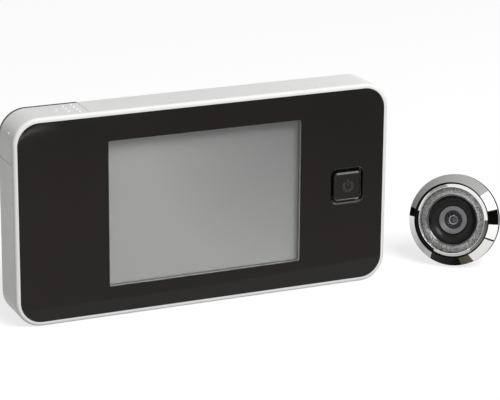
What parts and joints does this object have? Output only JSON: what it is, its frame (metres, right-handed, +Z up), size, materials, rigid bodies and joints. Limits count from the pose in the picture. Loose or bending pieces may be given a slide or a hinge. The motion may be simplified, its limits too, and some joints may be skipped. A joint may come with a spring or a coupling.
{
  "type": "peephole door camera",
  "caption": "Slim door monitor with a display, a power button and a battery corner, and its separate viewer camera on a threaded barrel.",
  "frame": {"origin": "middle of the monitor's bottom face, on the surface that the set stands on", "axes": "+X to the right along the monitor's width, +Y from the monitor's front to the door, +Z up"},
  "size_m": [0.1824, 0.0428, 0.0663],
  "materials": {
    "white_shell": "smooth moulded, semi-gloss",
    "black_panel": "polished black",
    "clear_window": "clear and smooth",
    "foam": "fine foam",
    "screen": "switched off display, satin",
    "tray_steel": "bright sheet",
    "ribbon": "amber film",
    "button_black": "satin black",
    "switch_plastic": "moulded",
    "stem_white": "moulded",
    "board_green": "solder resist",
    "chip_black": "moulded",
    "coil_grey": "ferrite",
    "socket_ivory": "moulded",
    "screw_steel": "zinc plated",
    "bay_black": "moulded",
    "cell_jacket": "shrink jacket",
    "contact_nickel": "nickel plated",
    "rear_black": "fine spark texture",
    "bracket_steel": "stainless sheet",
    "bezel_chrome": "polished",
    "ring_chrome": "polished",
    "grained_metal": "fine grained, satin",
    "hood_black": "gloss black",
    "holder_grey": "satin grey",
    "lens_glass": "coated optical glass",
    "pupil_grey": "black anodised",
    "sensor_dark": "chip under glass",
    "barrel_nickel": "nickel plated brass",
    "gasket_black": "closed foam",
    "washer_grey": "moulded",
    "nut_aluminium": "turned",
    "grommet_black": "moulded"
  },
  "bodies": {
    "root": {"front_housing": "white_shell", "front_panel": "black_panel", "display_window": "clear_window", "display_gasket": "foam", "display_cell": "screen", "display_tray": "tray_steel", "display_ribbon": "ribbon", "power_switch": "switch_plastic", "main_board": "board_green", "board_chips": "chip_black", "board_coils": "coil_grey", "camera_socket": "socket_ivory", "board_screws": "screw_steel", "battery_bay": "bay_black", "battery_cell_left": "cell_jacket", "battery_cell_right": "cell_jacket", "contact_spring": "contact_nickel", "contact_leaf": "contact_nickel", "rear_cover": "rear_black", "case_screws": "screw_steel", "camera_bezel": "bezel_chrome", "inner_ring": "ring_chrome", "grain_ring": "grained_metal", "lens_hood": "hood_black", "lens_holder": "holder_grey", "front_lens": "lens_glass", "rear_lens": "lens_glass", "aperture_ring": "pupil_grey", "image_sensor": "sensor_dark", "sensor_board": "board_green", "camera_barrel": "barrel_nickel", "door_gasket": "gasket_black", "cable_grommet": "grommet_black"},
    "power_key": {"power_button": "button_black", "switch_stem": "stem_white"},
    "battery_lid": {"battery_cover": "white_shell", "cover_contact": "contact_nickel"},
    "bracket": {"door_bracket": "bracket_steel"},
    "washer": {"clamp_washer": "washer_grey"},
    "nut": {"clamp_nut": "nut_aluminium"}
  },
  "joints": [
    {"name": "power_press", "type": "slide", "parent": "root", "child": "power_key", "axis": [0, 1, 0], "range_m": [0, 0.0004], "stiffness_N_per_m": 1500},
    {"name": "battery_cover_slide", "type": "slide", "parent": "root", "child": "battery_lid", "axis": [-1, 0, 0], "range_m": [0, 0.03]},
    {"name": "bracket_drop", "type": "slide", "parent": "root", "child": "bracket", "axis": [0, 0, -1], "range_m": [0, 0.0044]},
    {"name": "washer_slide", "type": "slide", "parent": "root", "child": "washer", "axis": [0.6569, 0.7118, -0.2487], "range_m": [0, 0.008]},
    {"name": "nut_turn", "type": "hinge", "parent": "washer", "child": "nut", "pos_m": [0.0901, -0.00265, 0.01512], "axis": [0.6569, 0.7118, -0.2487], "range_deg": [0, 2880]}
  ],
  "couplings": [
    {"joint": "nut_turn", "follows": "washer_slide", "rad_per_m": 6283.1}
  ]
}
